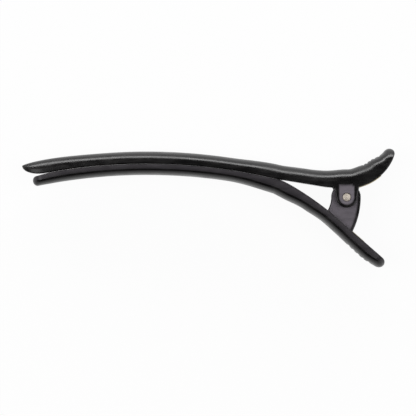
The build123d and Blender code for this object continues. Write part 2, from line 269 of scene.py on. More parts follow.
def shell(
    name: str,
    rings: np.ndarray,
    poles: tuple[np.ndarray, np.ndarray] | None = None,
    layers: dict[str, np.ndarray] | None = None,
) -> bpy.types.Object:
    """Closed shell through a grid of rings, each quad between neighbours on two rings.

    The ends close in fans on two poles, or in flat faces without them. The faces are turned outwards by
    the sign of the enclosed volume, a sixth of the sum of each corner fan's triple products.

    Args:
        name: name of the piece.
        rings: places in millimetres, rings by places by axes.
        poles: closing places before the first and after the last ring.
        layers: point attributes by name, each rings by places; the poles have 0.

    Returns:
        The object.
    """
    count, around = rings.shape[:2]
    vertices = rings.reshape(-1, 3)
    index = np.arange(count * around).reshape(count, around)
    ahead = np.roll(index, -1, axis=1)
    quads = np.stack([index[:-1], ahead[:-1], ahead[1:], index[1:]], axis=-1).reshape(-1, 4)
    if poles is None:
        ends = [index[0][::-1].tolist(), index[-1].tolist()]
    else:
        vertices = np.vstack([vertices, poles])
        first, last = count * around, count * around + 1
        ends = np.stack([np.full(around, first), ahead[0], index[0]], axis=-1).tolist()
        ends += np.stack([np.full(around, last), index[-1], ahead[-1]], axis=-1).tolist()
    fan = vertices[quads] - vertices.mean(axis=0)
    volume = np.einsum("ij,ij->i", np.cross(fan[:, 0], fan[:, 1]), fan[:, 2]).sum()
    volume += np.einsum("ij,ij->i", np.cross(fan[:, 0], fan[:, 2]), fan[:, 3]).sum()
    faces = quads.tolist() + ends
    if volume < 0:
        faces = [face[::-1] for face in faces]
    mesh = bpy.data.meshes.new(name)
    mesh.from_pydata((vertices * METRES).tolist(), [], faces)
    for label, layer in (layers or {}).items():
        values = np.zeros(len(vertices), dtype=np.float32)
        values[: count * around] = layer.reshape(-1)
        mesh.attributes.new(label, "FLOAT", "POINT").data.foreach_set("value", values)
    mesh.update()
    piece = bpy.data.objects.new(name, mesh)
    bpy.context.scene.collection.objects.link(piece)
    return piece


def combine(piece: bpy.types.Object, tool: bpy.types.Object, how: Merge) -> None:
    """Unites a piece with a closed shell or cuts the shell out of it, and removes the shell."""
    modifier = piece.modifiers.new(how.name, "BOOLEAN")
    modifier.operation = how.value
    modifier.solver = "EXACT"
    modifier.object = tool
    graph = bpy.context.evaluated_depsgraph_get()
    mesh = bpy.data.meshes.new_from_object(
        piece.evaluated_get(graph), preserve_all_data_layers=True, depsgraph=graph
    )
    piece.modifiers.clear()
    old, piece.data = piece.data, mesh
    bpy.data.meshes.remove(old)
    bpy.data.objects.remove(tool)


def smooth(piece: bpy.types.Object, angle: float) -> None:
    """Shades a piece smooth, but for edges that turn by more than an angle in degrees."""
    piece.data.shade_smooth()
    piece.data.set_sharp_from_angle(angle=math.radians(angle))


def lathe(profile: np.ndarray, around: int) -> np.ndarray:
    """Rings of a round piece about the pin axis: each place of the profile, a radius and a height,
    turned through the full circle.

    Args:
        profile: radius and height of each ring.
        around: places on a ring.

    Returns:
        The rings.
    """
    turn = np.linspace(0.0, 2 * math.pi, around, endpoint=False)
    radius, height = profile[:, :1], profile[:, 1:]
    return np.stack(
        [radius * np.cos(turn), radius * np.sin(turn), np.broadcast_to(height, (len(profile), around))],
        axis=-1,
    )


def cylinder(name: str, radius: float, low: float, high: float) -> bpy.types.Object:
    """Closed cylinder about the pin axis: a profile with one radius, turned."""
    return shell(name, lathe(np.array([[radius, low], [radius, high]]), ROUND))


# ---------------------------------------------------------------------------------------- materials


class Graph:
    """Node tree of one material."""

    def __init__(self, name: str) -> None:
        """Starts a material with its output alone."""
        self.material = bpy.data.materials.new(name)
        self.material.use_nodes = True
        self.tree = self.material.node_tree
        self.tree.nodes.clear()
        self.output = self.tree.nodes.new("ShaderNodeOutputMaterial")
        self.place = self.tree.nodes.new("ShaderNodeTexCoord").outputs["Object"]

    def node(self, kind: str, settings: dict | None = None, **inputs: object) -> bpy.types.Node:
        """Adds a node.

        Args:
            kind: node type.
            settings: its properties.
            inputs: value or source of each input, by name, with spaces as underscores.

        Returns:
            The node.
        """
        node = self.tree.nodes.new(kind)
        for key, value in (settings or {}).items():
            setattr(node, key, value)
        for key, value in inputs.items():
            socket = node.inputs[int(key[1:])] if key[1:].isdigit() else node.inputs[key.replace("_", " ")]
            if isinstance(value, bpy.types.NodeSocket):
                self.tree.links.new(value, socket)
            else:
                socket.default_value = value
        return node

    def noise(
        self, scale: float, detail: float = 3.0, stretch: Sequence[float] = (1.0, 1.0, 1.0)
    ) -> bpy.types.NodeSocket:
        """Noise of that many features to the metre, stretched by a share along each axis."""
        place = self.node("ShaderNodeMapping", Vector=self.place, Scale=stretch).outputs["Vector"]
        return self.node("ShaderNodeTexNoise", Vector=place, Scale=scale, Detail=detail).outputs["Fac"]

    def ramp(
        self,
        source: bpy.types.NodeSocket,
        low: float,
        high: float,
        start: float = 0.0,
        end: float = 1.0,
    ) -> bpy.types.NodeSocket:
        """Maps a source from low..high to start..end, held at both ends."""
        return self.node(
            "ShaderNodeMapRange",
            Value=source, From_Min=low, From_Max=high, To_Min=start, To_Max=end,
        ).outputs["Result"]

    def blend(
        self,
        share: bpy.types.NodeSocket,
        low: Sequence[float] | bpy.types.NodeSocket,
        high: Sequence[float] | bpy.types.NodeSocket,
    ) -> bpy.types.NodeSocket:
        """Colour between two colours, or a colour and a source."""
        node = self.node("ShaderNodeMix", {"data_type": "RGBA"}, Factor=share)
        for slot, value in ((6, low), (7, high)):
            if isinstance(value, bpy.types.NodeSocket):
                self.tree.links.new(value, node.inputs[slot])
            else:
                node.inputs[slot].default_value = (*value, 1.0)
        return node.outputs[2]

    def sum(
        self,
        first: bpy.types.NodeSocket,
        second: bpy.types.NodeSocket | float,
        how: Maths = Maths.ADD,
    ) -> bpy.types.NodeSocket:
        """Two values combined by a sum or another operation."""
        return self.node("ShaderNodeMath", {"operation": how.value}, _0=first, _1=second).outputs[0]

    def bump(self, height: bpy.types.NodeSocket, depth: float, strength: float = 1.0) -> bpy.types.NodeSocket:
        """Surface normal for a height that spans a depth in millimetres."""
        return self.node(
            "ShaderNodeBump", Height=height, Distance=depth * METRES, Strength=strength
        ).outputs["Normal"]

    def finish(self, **inputs: object) -> bpy.types.Material:
        """Closes the tree with the surface shader and returns the material."""
        shader = self.node("ShaderNodeBsdfPrincipled", **inputs)
        self.tree.links.new(shader.outputs["BSDF"], self.output.inputs["Surface"])
        return self.material


@dataclass(frozen=True)
class MouldedPlastic:
    """Black moulded plastic: a glossy skin with a fine grain, handling smears, edges that handling has
    rubbed grey, which along the mating line also carry a painted highlight, and satin faces inside the
    glossy rims of the hinge ears, painted much lighter as a painted sheen, as is a band on the lower
    arm's sides.

    One point attribute says how far an edge is rubbed, with its painted highlight, and another where the
    satin faces and their painted sheen are.
    """

    deep: tuple[float, float, float] = (0.0022, 0.0020, 0.0022)
    pale: tuple[float, float, float] = (0.0045, 0.0042, 0.0044)
    # grey of rubbed edges, which along the mating line also serves as a painted highlight
    rubbed_and_highlight: tuple[float, float, float] = (0.014, 0.013, 0.013)
    # much lighter colour of the satin faces and side bands: a painted sheen
    satin_and_painted_sheen: tuple[float, float, float] = (0.155, 0.139, 0.160)
    grain: float = 5200.0
    cloud: float = 140.0
    scuff: float = 900.0
    sleek: float = 0.22
    dull: float = 0.34
    satin_rough: float = 0.62
    gloss: float = 0.28

    def material(self) -> bpy.types.Material:
        """Builds the material."""
        graph = Graph("black_plastic")
        cloud = graph.noise(self.cloud, 4.0)
        scuff = graph.noise(self.scuff, 5.0, (0.25, 1.0, 1.0))
        grain = graph.noise(self.grain, 2.0)
        wear_and_highlight = graph.node("ShaderNodeAttribute", {"attribute_name": "wear_and_highlight"}).outputs["Fac"]
        satin_and_painted_sheen = graph.node("ShaderNodeAttribute", {"attribute_name": "satin_and_painted_sheen"}).outputs["Fac"]
        # Rubbed edges turn grey; along the mating line this is also a painted highlight.
        rub_and_highlight = graph.sum(wear_and_highlight, graph.ramp(scuff, 0.38, 0.68), Maths.TIMES)
        tone = graph.blend(graph.ramp(cloud, 0.35, 0.65), self.deep, self.pale)
        tone = graph.blend(rub_and_highlight, tone, self.rubbed_and_highlight)
        # Where the satin share is, a much lighter colour is blended in, broken by the scuffs: a painted sheen
        # on the ear faces and the lower arm's sides.
        painted_sheen = graph.sum(satin_and_painted_sheen, graph.ramp(scuff, 0.30, 0.70, 0.75, 1.0), Maths.TIMES)
        tone = graph.blend(painted_sheen, tone, self.satin_and_painted_sheen)
        rough = graph.sum(
            graph.ramp(cloud, 0.3, 0.7, self.sleek, self.dull), graph.ramp(scuff, 0.45, 0.75, 0.0, 0.12)
        )
        rough = graph.sum(rough, graph.ramp(satin_and_painted_sheen, 0.0, 1.0, 0.0, self.satin_rough - self.dull))
        return graph.finish(
            Base_Color=tone, Roughness=rough, Normal=graph.bump(grain, 0.012, 0.6), IOR=1.50,
            Specular_IOR_Level=self.gloss,
        )


@dataclass(frozen=True)
class TurnedSteel:
    """Plain steel of the pin: rings left by the cut-off tool on its ends and fine lines round it."""

    bright: tuple[float, float, float] = (0.72, 0.66, 0.58)
    dim: tuple[float, float, float] = (0.50, 0.45, 0.39)

    def material(self) -> bpy.types.Material:
        """Builds the material: the rings are waves of the distance from the pin axis."""
        graph = Graph("pin_steel")
        rings = graph.node(
            "ShaderNodeTexWave",
            {"wave_type": "RINGS", "rings_direction": "Z"},
            Vector=graph.place, Scale=1500.0, Distortion=1.5, Detail=2.0,
        ).outputs["Fac"]
        cloud = graph.noise(900.0, 4.0)
        colour = graph.blend(graph.ramp(cloud, 0.35, 0.65), self.dim, self.bright)
        rough = graph.sum(graph.ramp(cloud, 0.3, 0.7, 0.46, 0.60), graph.ramp(rings, 0.0, 1.0, 0.0, 0.08))
        return graph.finish(
            Base_Color=colour, Metallic=1.0, Roughness=rough, Normal=graph.bump(rings, 0.006, 0.5)
        )


@dataclass(frozen=True)
class SpringWire:
    """Zinc-plated spring wire with a yellow tint, drawn lengthwise."""

    yellow: tuple[float, float, float] = (0.52, 0.44, 0.27)
    olive: tuple[float, float, float] = (0.33, 0.30, 0.18)

    def material(self) -> bpy.types.Material:
        """Builds the material: the tint drifts in clouds, and fine grain breaks the gloss."""
        graph = Graph("spring_wire")
        cloud = graph.noise(700.0, 4.0)
        grain = graph.noise(6500.0, 3.0)
        colour = graph.blend(graph.ramp(cloud, 0.35, 0.62), self.olive, self.yellow)
        rough = graph.sum(graph.ramp(cloud, 0.3, 0.7, 0.24, 0.38), graph.ramp(grain, 0.4, 0.7, 0.0, 0.10))
        return graph.finish(
            Base_Color=colour, Metallic=1.0, Roughness=rough, Normal=graph.bump(grain, 0.008, 0.5)
        )


def mark(piece: bpy.types.Object, name: str, law: Law) -> None:
    """Raises a point attribute of a piece to a law of the vertices' places in millimetres.

    Args:
        piece: the piece.
        name: name of the attribute.
        law: least value at each place, from the places, one row each.
    """
    count = len(piece.data.vertices)
    places, values = np.empty(3 * count, dtype=np.float32), np.empty(count, dtype=np.float32)
    piece.data.vertices.foreach_get("co", places)
    layer = piece.data.attributes[name].data
    layer.foreach_get("value", values)
    layer.foreach_set("value", np.maximum(values, law(places.reshape(-1, 3) / METRES)).astype(np.float32))


def dress(piece: bpy.types.Object, material: bpy.types.Material, body: Body, node: str) -> None:
    """Gives a piece its material and body, and hides the CAD node that it stands for."""
    piece.data.materials.clear()
    piece.data.materials.append(material)
    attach(piece, body.value)
    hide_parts(node)


# --------------------------------------------------------------------------------------------- arms


@dataclass(frozen=True)
class Hinge:
    """Sizes that the arms, the pin and the spring share round the hinge.

    The roof is the point of the upper arm's inner edge from which its jaw and its thumb lever start,
    and the foot is the point of the finger lever square below the pin.
    """

    width: float = 11.0
    roof_offset: float = 0.6
    roof_height: float = 2.75
    thumb_radius: float = 14.3
    foot_distance: float = 6.5
    finger_slope: float = 41.0
    pin_radius: float = 1.3
    pin_play: float = 0.06
    pin_chamfer: float = 0.2
    outer_ear: float = 1.4
    ear_play: float = 0.2
    inner_ear: float = 1.3
    ear_radius: float = 3.1
    ear_flare: float = 0.8
    ear_seat: float = 1.2
    ear_edge: float = 0.4
    inner_radius: float = 4.2
    roof_play: float = 0.35

    @property
    def roof(self) -> np.ndarray:
        """Point above the pin."""
        return np.array([self.roof_offset, self.roof_height])

    @property
    def ahead(self) -> np.ndarray:
        """Unit direction of the finger lever."""
        return toward(-self.finger_slope)

    @property
    def square(self) -> np.ndarray:
        """Unit direction from the pin square to the finger lever."""
        return toward(-90.0 - self.finger_slope)

    @property
    def foot(self) -> np.ndarray:
        """Point of the finger lever square below the pin."""
        return self.foot_distance * self.square

    @property
    def middle(self) -> float:
        """Height of the middle of the width."""
        return self.width / 2

    @property
    def pocket(self) -> float:
        """Half the width between the outer ears."""
        return self.middle - self.outer_ear

    @property
    def inner_out(self) -> float:
        """Outer face of an inner ear, from the middle."""
        return self.pocket - self.ear_play

    @property
    def inner_in(self) -> float:
        """Inner face of an inner ear, from the middle."""
        return self.inner_out - self.inner_ear


@dataclass(frozen=True)
class Spring:
    """Layout of the torsion spring: a coil round the pin, and a leg along each lever, each leg sunk in
    a groove of its lever.

    A side is the angle at which, seen from the pin, a leg touches the coil.
    """

    hinge: Hinge
    wire: float = 0.5
    coil: float = 2.0
    turns: int = 3
    pitch: float = 1.08
    play: float = 0.08
    groove_half: float = 0.75
    groove_depth: float = 0.8
    lead: float = 2.0
    spare: float = 1.0
    thumb_turn: float = 42.0
    finger_slope: float = 70.0
    finger_leg: float = 4.0
    bend: float = 2.5

    @property
    def sunk(self) -> float:
        """Depth of the legs' middle below the levers' faces."""
        return self.groove_depth - self.play - self.wire

    @property
    def thumb_centre(self) -> np.ndarray:
        """Middle of the thumb lever's curl."""
        return self.hinge.roof + np.array([0.0, self.hinge.thumb_radius])

    @property
    def thumb_leg(self) -> float:
        """Radius of the thumb leg's curl."""
        return self.hinge.thumb_radius - self.sunk

    @property
    def thumb_side(self) -> float:
        """Side of the thumb leg: the coil and the curl touch it from opposite sides."""
        centre = self.thumb_centre
        lean = math.acos((self.thumb_leg + self.coil) / math.hypot(*centre))
        return math.degrees(lean + math.atan2(centre[1], centre[0]))

    @property
    def finger_side(self) -> float:
        """Side of the finger leg."""
        return 270.0 - self.finger_slope

    @property
    def turn(self) -> float:
        """Degrees from the finger leg round to the thumb leg."""
        return self.turns * 360.0 + (self.finger_side - self.thumb_side) % 360.0

    @property
    def rise(self) -> float:
        """Half the distance between the two legs, across the width."""
        return self.pitch * self.turn / 720.0

    @property
    def run(self) -> float:
        """Length of the finger leg from the coil to its corner on the lever."""
        drop = self.hinge.foot_distance + self.sunk - self.coil * self.hinge.square @ toward(self.finger_side)
        return drop / (self.hinge.square @ toward(-self.finger_slope))

    @property
    def corner(self) -> float:
        """Distance from the foot along the finger lever to the leg's corner."""
        place = self.coil * toward(self.finger_side) + self.run * toward(-self.finger_slope)
        return (place - self.hinge.foot) @ self.hinge.ahead

    @property
    def cut(self) -> float:
        """Length of either leg side that the rounded corner takes."""
        return self.bend * math.tan(math.radians(self.finger_slope - self.hinge.finger_slope) / 2)

    @property
    def thumb_groove(self) -> tuple[float, float]:
        """Start and end of the groove along the thumb lever's edge."""
        return 0.0, math.radians(self.thumb_turn) * self.hinge.thumb_radius + self.spare

    @property
    def finger_groove(self) -> tuple[float, float]:
        """Start and end of the groove along the finger lever's edge."""
        return self.corner - self.lead, self.corner + self.cut + self.finger_leg + self.spare

    def grooved(
        self, at: np.ndarray, across: np.ndarray, span: tuple[float, float], middle: float
    ) -> np.ndarray:
        """Whether places on a lever's face are in the groove.

        Args:
            at: distances along the lever's edge.
            across: distances from the middle of the width.
            span: start and end of the groove.
            middle: the groove's distance from the middle of the width.

        Returns:
            True in the groove.
        """
        return (at > span[0]) & (at < span[1]) & (np.abs(across - middle) < self.groove_half)


@dataclass(frozen=True)
class MatingLine:
    """The line along which the closed jaws meet, and the teeth and channel laid out on it."""

    radius: float = 165.0
    gap: float = 0.03
    channel_width: float = 5.2
    channel_depth: float = 1.35
    channel_start: float = 6.0
    channel_end: float = 62.0
    tooth_pitch: float = 6.2
    tooth_foot: float = 1.1
    tooth_tip: float = 0.4
    tooth_height: float = 1.0
    tooth_play: float = 0.4
    tooth_seat: float = 0.3

    def lower_teeth(self) -> np.ndarray:
        """Distance from the fork to each tooth of the lower jaw."""
        count = int((self.channel_end - self.channel_start) / self.tooth_pitch)
        first = (self.channel_start + self.channel_end - (count - 1) * self.tooth_pitch) / 2
        return first + np.arange(count) * self.tooth_pitch

    def upper_teeth(self) -> np.ndarray:
        """The upper jaw's teeth, halfway between the lower ones."""
        return self.lower_teeth()[:-1] + self.tooth_pitch / 2

    @staticmethod
    def nearest(place: np.ndarray, teeth: np.ndarray) -> np.ndarray:
        """Distance of each place to the nearest tooth."""
        return np.abs(place[..., None] - teeth).min(axis=-1)

    def breaks(self, teeth: np.ndarray, foot: float) -> np.ndarray:
        """Places where the flank of a tooth starts and ends, with the foot's half length."""
        marks = np.array([-foot, -self.tooth_tip, self.tooth_tip, foot])
        return (teeth[:, None] + marks).ravel()


@dataclass
class Arm:
    """An arm as a rail: a closed section carried along the arm's inner edge.

    The section has a flat inner face with small corners, plane sides, and a half ellipse for its back.
    Its laws give the inner face's and the back's distance from the course, and the width.
    """

    name: str
    course: Course
    back: Back
    stations: np.ndarray
    lines: np.ndarray  # distances from the middle of the inner face's grid lines, full width
    base: Law
    top: Law
    half: Law
    inner: Callable[[np.ndarray, np.ndarray, np.ndarray], np.ndarray]
    outer: Callable[[np.ndarray, np.ndarray, np.ndarray], np.ndarray]
    crest: Callable[[np.ndarray, np.ndarray], np.ndarray]
    crown_share: float
    crown_most: float
    # share of painted sheen, with satin roughness, on the sides towards the inner edge
    side_satin_and_painted_sheen: float
    held: float = 2.65  # grid lines up to here keep their distance while the arm narrows
    spare: float = 0.25  # between the last held grid line and the face's edge
    corner_most: float = 0.2  # most of the half width that a corner takes
    corner: float = 0.35
    width: float = 11.0

    def rings(self) -> tuple[np.ndarray, dict[str, np.ndarray]]:
        """Rings of the rail, and for each place the edge wear, with its painted highlight, and the satin
        share, with its painted sheen.

        Each ring is inner face, corner, side, back, side, corner. The place of (w, h) in a section is
        the course's place, plus h along the outward normal, at w from the middle of the width.
        """
        at = self.stations[:, None]
        base, top, half = self.base(at), self.top(at), self.half(at)
        crown = np.minimum(self.crown_share * (top - base), self.crown_most)
        corner = np.minimum(self.corner, (top - base - crown) / 2)
        corner = np.minimum(corner, half * self.corner_most)
        flat = half - corner

        full = self.width / 2 - self.corner
        shrink = np.minimum(1.0, flat / (self.held + self.spare))
        kept = self.held * shrink
        size = np.abs(self.lines)[None, :]
        across = np.where(
            size <= self.held,
            size * shrink,
            kept + (size - self.held) / (full - self.held) * (flat - kept),
        )
        across = across * np.sign(self.lines)
        face = self.inner(at, across, base)

        turn = np.radians(np.array([15.0, 30.0, 45.0, 60.0, 75.0, 90.0]))
        inset = corner * (1 - np.cos(turn))
        corner_w = flat + corner * np.sin(turn)
        corner_h = self.outer(at, inset, base)
        wall_low = corner_h[:, -1:]
        rise = np.concatenate([[0.01, 0.04, 0.07], np.arange(0.11, 0.60, 0.05), [0.66, 0.75, 0.86, 0.98]])
        wall_h = wall_low + (top - crown - wall_low) * rise
        wall_w = np.broadcast_to(half, wall_h.shape)

        arc = np.radians(np.concatenate([[0, 2, 6, 12], np.arange(18, 163, 6.0), [168, 174, 178, 180]]))
        back_w = half * np.cos(arc)
        back_h = self.crest(at, top - crown + crown * np.sin(arc))
        back_h = np.maximum(back_h, wall_h[:, -1:])

        loop_w = [across, corner_w, wall_w, back_w, -wall_w[:, ::-1], -corner_w[:, ::-1]]
        loop_h = [face, corner_h, wall_h, back_h, wall_h[:, ::-1], corner_h[:, ::-1]]
        w, h = self.loop(loop_w), self.loop(loop_h)

        point, normal = self.course.square(self.stations)
        place = point[:, None, :] + self.back.value * normal[:, None, :] * h[..., None]
        rings = np.concatenate([place, (self.width / 2 + w)[..., None]], axis=-1)
        # Wear rubs the edges grey. At the inner corners, and near the inner edge of the sides, it also paints
        # a highlight along the mating line.
        side_wear_and_highlight = np.interp(rise, [0.0, 0.25, 0.75, 1.0], [0.5, 0.1, 0.0, 0.4])
        rim = np.ones(len(turn))
        back_rub = 0.45 * np.abs(np.cos(arc)) ** 4 + 0.1
        face_wear_and_highlight = np.clip(np.abs(across) - full + 0.5, 0.0, 0.5)
        wear_and_highlight = self.loop([face_wear_and_highlight, rim, side_wear_and_highlight, back_rub, side_wear_and_highlight[::-1], rim])
        # The satin share paints the sides lighter towards the inner edge and at the corners: a painted sheen
        # along the mating line.
        sides = self.side_satin_and_painted_sheen * np.interp(rise, [0.25, 1.0], [1.0, 0.5])
        edge = 0.3 * self.side_satin_and_painted_sheen * rim
        satin_and_painted_sheen = self.loop(
            [np.zeros(across.shape[1]), edge, sides, np.zeros(len(arc)), sides[::-1], edge]
        )
        return rings, {"wear_and_highlight": wear_and_highlight, "satin_and_painted_sheen": satin_and_painted_sheen}

    def loop(self, parts: Sequence[np.ndarray]) -> np.ndarray:
        """One row for each station, from parts that are rows, or one row for all of the stations."""
        count = len(self.stations)
        return np.concatenate([np.broadcast_to(part, (count, part.shape[-1])) for part in parts], axis=1)

    def poles(self) -> tuple[np.ndarray, np.ndarray]:
        """Closing places of the two ends, where the section has shrunk to one point."""
        ends = np.array([self.course.length[0], self.course.length[-1]])
        point, normal = self.course.square(ends)
        place = point + self.back.value * normal * ((self.base(ends) + self.top(ends)) / 2)[:, None]
        low, high = np.column_stack([place, [self.width / 2] * 2])
        return low, high

    def build(self) -> bpy.types.Object:
        """Builds the arm's closed shell."""
        rings, layers = self.rings()
        return shell(self.name, rings, self.poles(), layers)


def end_steps(reach: float, count: int = 16) -> np.ndarray:
    """Distances from an elliptical end's extreme point: even steps of angle on its quarter turn."""
    angle = np.radians(np.linspace(0.0, 90.0, count + 1)[:-1])
    return reach * (1 - np.sin(angle))


@dataclass(frozen=True)
class Grip:
    """Scallops across the back of a lever."""

    count: int = 5
    pitch: float = 1.9
    end: float = 4.0
    radius: float = 0.9
    depth: float = 0.2

    def cut(self, left: np.ndarray, reach: np.ndarray) -> np.ndarray:
        """Height that the scallops leave: under each, the bottom of a circle that dips by the depth.

        Args:
            left: distance to the lever's end.
            reach: height of the back.

        Returns:
            The greatest height that is left.
        """
        middles = self.end + np.arange(self.count) * self.pitch
        off = np.abs(left[..., None] - middles).min(axis=-1)
        dip = reach + self.radius - self.depth - np.sqrt(np.maximum(self.radius**2 - off**2, 0.0))
        return np.where(off < self.radius, dip, np.inf)

    def stations(self) -> np.ndarray:
        """Distances to the lever's end that follow the scallops."""
        edge = math.sqrt(self.radius**2 - (self.radius - self.depth) ** 2)
        middles = self.end + np.arange(self.count) * self.pitch
        marks = np.concatenate([np.linspace(-edge, edge, 13), [-edge - 0.04, edge + 0.04]])
        return (middles[:, None] + marks).ravel()


@dataclass(frozen=True)
class UpperArm:
    """Upper arm: beak, jaw with its channel and teeth, thumb lever, and the two outer ears."""

    hinge: Hinge
    line: MatingLine
    spring: Spring
    grip: Grip = Grip()
    jaw_length: float = 75.4
    roof_flat: float = 3.1
    bend_radius: float = 28.0
    slope: float = 9.5
    straight: float = 12.0
    fork_radius: float = 20.0
    fork_turn: float = 4.0
    thumb_turn: float = 77.8
    tip_thick: float = 3.9
    jaw_thick: float = 3.55
    fork_thick: float = 4.2
    root_thick: float = 4.45
    roof_thick: float = 5.5
    thumb_thick: float = 5.8
    thumb_middle: float = 5.4
    thumb_end_thick: float = 2.9
    crown_share: float = 0.78
    crown_most: float = 3.3
    side_satin_and_painted_sheen: float = 0.0
    root_place: float = 0.6
    thumb_place: float = 0.25
    thumb_middle_place: float = 0.55
    fork_blend: float = 15.0
    tip_blend: float = 18.0
    tip_width: float = 6.6
    taper_start: float = 24.0
    beak_length: float = 6.0
    beak_lift: float = 3.35
    thumb_end: float = 1.6
    lever_plan: float = 3.6
    lever_taper: float = 7.2
    lever_width: float = 9.0
    ear_rim: float = 0.75
    ear_fade: float = 0.35
    close_rows: tuple[tuple[float, float], ...] = ((-5.5, -4.6), (2.0, 3.4))  # stretches of the course
    close_step: float = 0.05
    disc_row: float = -1.0  # middle of the rows that bunch towards the disc's two sides
    jaw_step: float = 0.6
    lever_step: float = 0.4
    face_lines: tuple[float, ...] = (0.0, 0.5, 1.8, 3.2, 3.7, 4.75, 5.05, 5.15)

    def root(self) -> Course:
        """Course from the point above the hinge to the fork."""
        return Course.bent(
            self.hinge.roof,
            180.0,
            [
                (self.roof_flat, 0.0),
                (self.bend_radius * math.radians(self.slope), -self.slope),
                (self.straight, 0.0),
                (self.fork_radius * math.radians(self.fork_turn), -self.fork_turn),
            ],
        )

    def jaw(self, start: Course, length: float) -> Course:
        """Mating line of that length, carried on from the fork."""
        turn = math.degrees(length / self.line.radius)
        return Course.bent(start.points[-1], math.degrees(start.heading[-1]), [(length, turn)])

    def course(self) -> Course:
        """Inner edge from the beak to the end of the thumb lever, with 0 above the hinge."""
        curl = self.hinge.thumb_radius * math.radians(self.thumb_turn)
        thumb = Course.bent(self.hinge.roof, 0.0, [(curl, self.thumb_turn)])
        root = self.root()
        return root.then(self.jaw(root, self.jaw_length)).backwards().onwards(thumb)

    def ear(self, course: Course, at: np.ndarray, inset: np.ndarray) -> np.ndarray:
        """How far the outer ear reaches below the inner edge, or less than 0 where there is none.

        The ear is a disc about the pin with two straight sides up to the arm, both drawn in by an
        inset. Along the line square to the edge, its reach is the further of the distances to the far
        side of the circle and, for places inside the sides, to the side.

        Args:
            course: the arm's inner edge.
            at: lengths on the course.
            inset: distance by which the outline is drawn in.

        Returns:
            The reach.
        """
        point, normal = course.square(at)
        radius = self.hinge.ear_radius - inset
        offset = (point * normal).sum(axis=-1)
        inside = offset**2 - (point**2).sum(axis=-1) + radius**2
        disc = np.where(inside > 0, offset + np.sqrt(np.maximum(inside, 0.0)), -1.0)
        lean = self.hinge.ear_flare / (self.hinge.roof_height + self.hinge.ear_seat)
        x, y = np.abs(point[..., 0]), point[..., 1]
        away = np.sign(point[..., 0]) * normal[..., 0]
        margin = radius + lean * y - x
        side = margin / np.maximum(lean * normal[..., 1] - away, 1e-6)
        meets = y - side * normal[..., 1]
        side = np.where(margin > 0, side, margin)
        return np.where((margin > 0) & (meets < 0), disc, side)

    def satin_and_painted_sheen(self, places: np.ndarray) -> np.ndarray:
        """Share of satin, and of the painted sheen that goes with it, on the ears: full inside, none in a rim
        band as wide as ear_rim, whose dark stands in for the shade round the ear's edge. It ends where the
        ear meets the arm's side."""
        across, up = places[:, 0], places[:, 1]
        inside = self.hinge.ear_radius - np.hypot(across, np.minimum(up, 0.0)) - self.ear_rim
        above = self.hinge.roof_height + self.ear_rim - up
        return np.clip(np.minimum(inside, above) / self.ear_fade, 0.0, 1.0)

    def build(self, finish: bpy.types.Material) -> bpy.types.Object:
        """Builds and dresses the arm."""
        hinge, line, spring = self.hinge, self.line, self.spring
        course = self.course()
        jaw_end, thumb_length = -course.length[0], course.length[-1]
        root_length = jaw_end - self.jaw_length
        jaw_knots = [
            (0.0, self.roof_thick),
            (root_length * self.root_place, self.root_thick),
            (root_length, self.fork_thick),
            (root_length + self.fork_blend, self.jaw_thick),
            (jaw_end - self.beak_length - self.tip_blend, self.jaw_thick),
            (jaw_end - self.beak_length, self.tip_thick),
        ]
        thumb_knots = [
            (0.0, self.roof_thick),
            (thumb_length * self.thumb_place, self.thumb_thick),
            (thumb_length * self.thumb_middle_place, self.thumb_middle),
            (thumb_length, self.thumb_end_thick),
        ]

        def reach(at: np.ndarray) -> np.ndarray:
            """Distance of the undrawn back from the inner edge."""
            return np.where(at < 0, ease(jaw_knots, -at), ease(thumb_knots, at))

        ends = (jaw_end, thumb_length)

        def share(at: np.ndarray) -> np.ndarray:
            """Share of the thickness that the rounded ends keep."""
            return kept(at, ends, (self.beak_length, self.thumb_end))

        def heart(at: np.ndarray) -> np.ndarray:
            """Level towards which the ends are drawn."""
            return np.where(at < 0, self.beak_lift, reach(at) / 2)

        def base(at: np.ndarray) -> np.ndarray:
            """Inner face."""
            return heart(at) * (1 - share(at))

        def top(at: np.ndarray) -> np.ndarray:
            """Back."""
            return heart(at) + (reach(at) - heart(at)) * share(at)

        def half(at: np.ndarray) -> np.ndarray:
            """Half the width."""
            jaw = narrowing(-at, root_length + self.taper_start, jaw_end, hinge.width, self.tip_width)
            taper = thumb_length - self.lever_taper
            lever = narrowing(at, taper, thumb_length, hinge.width, self.lever_width)
            return np.where(at < 0, jaw, lever) * kept(at, ends, (self.beak_length, self.lever_plan)) / 2

        def inner(at: np.ndarray, across: np.ndarray, low: np.ndarray) -> np.ndarray:
            """Inner face with the channel and its teeth, the pocket for the ears and the leg's groove."""
            place = -at - root_length
            off = line.nearest(place, line.upper_teeth())
            flank = (off - line.tooth_tip) / (line.tooth_foot - line.tooth_tip)
            depth = np.clip(flank * (line.channel_depth + line.tooth_seat), 0.0, line.channel_depth)
            channel = (place > line.channel_start) & (place < line.channel_end)
            channel = channel & (np.abs(across) < line.channel_width / 2)
            face = low + np.where(channel, depth, 0.0)

            point, normal = course.square(at)
            offset = (point * normal).sum(axis=-1)
            hollow = hinge.inner_radius + hinge.roof_play
            inside = offset**2 - (point**2).sum(axis=-1) + hollow**2
            pocket = np.where(inside > 0, np.sqrt(np.maximum(inside, 0.0)) - offset, 0.0)
            groove = spring.grooved(at, across, spring.thumb_groove, spring.rise)
            cut = np.maximum(pocket, np.where(groove, spring.groove_depth, 0.0))
            between = np.abs(across) < hinge.pocket
            ear = -self.ear(course, at, rim_inset(across))
            return np.where(between, np.maximum(face, low + cut), np.minimum(face, ear))

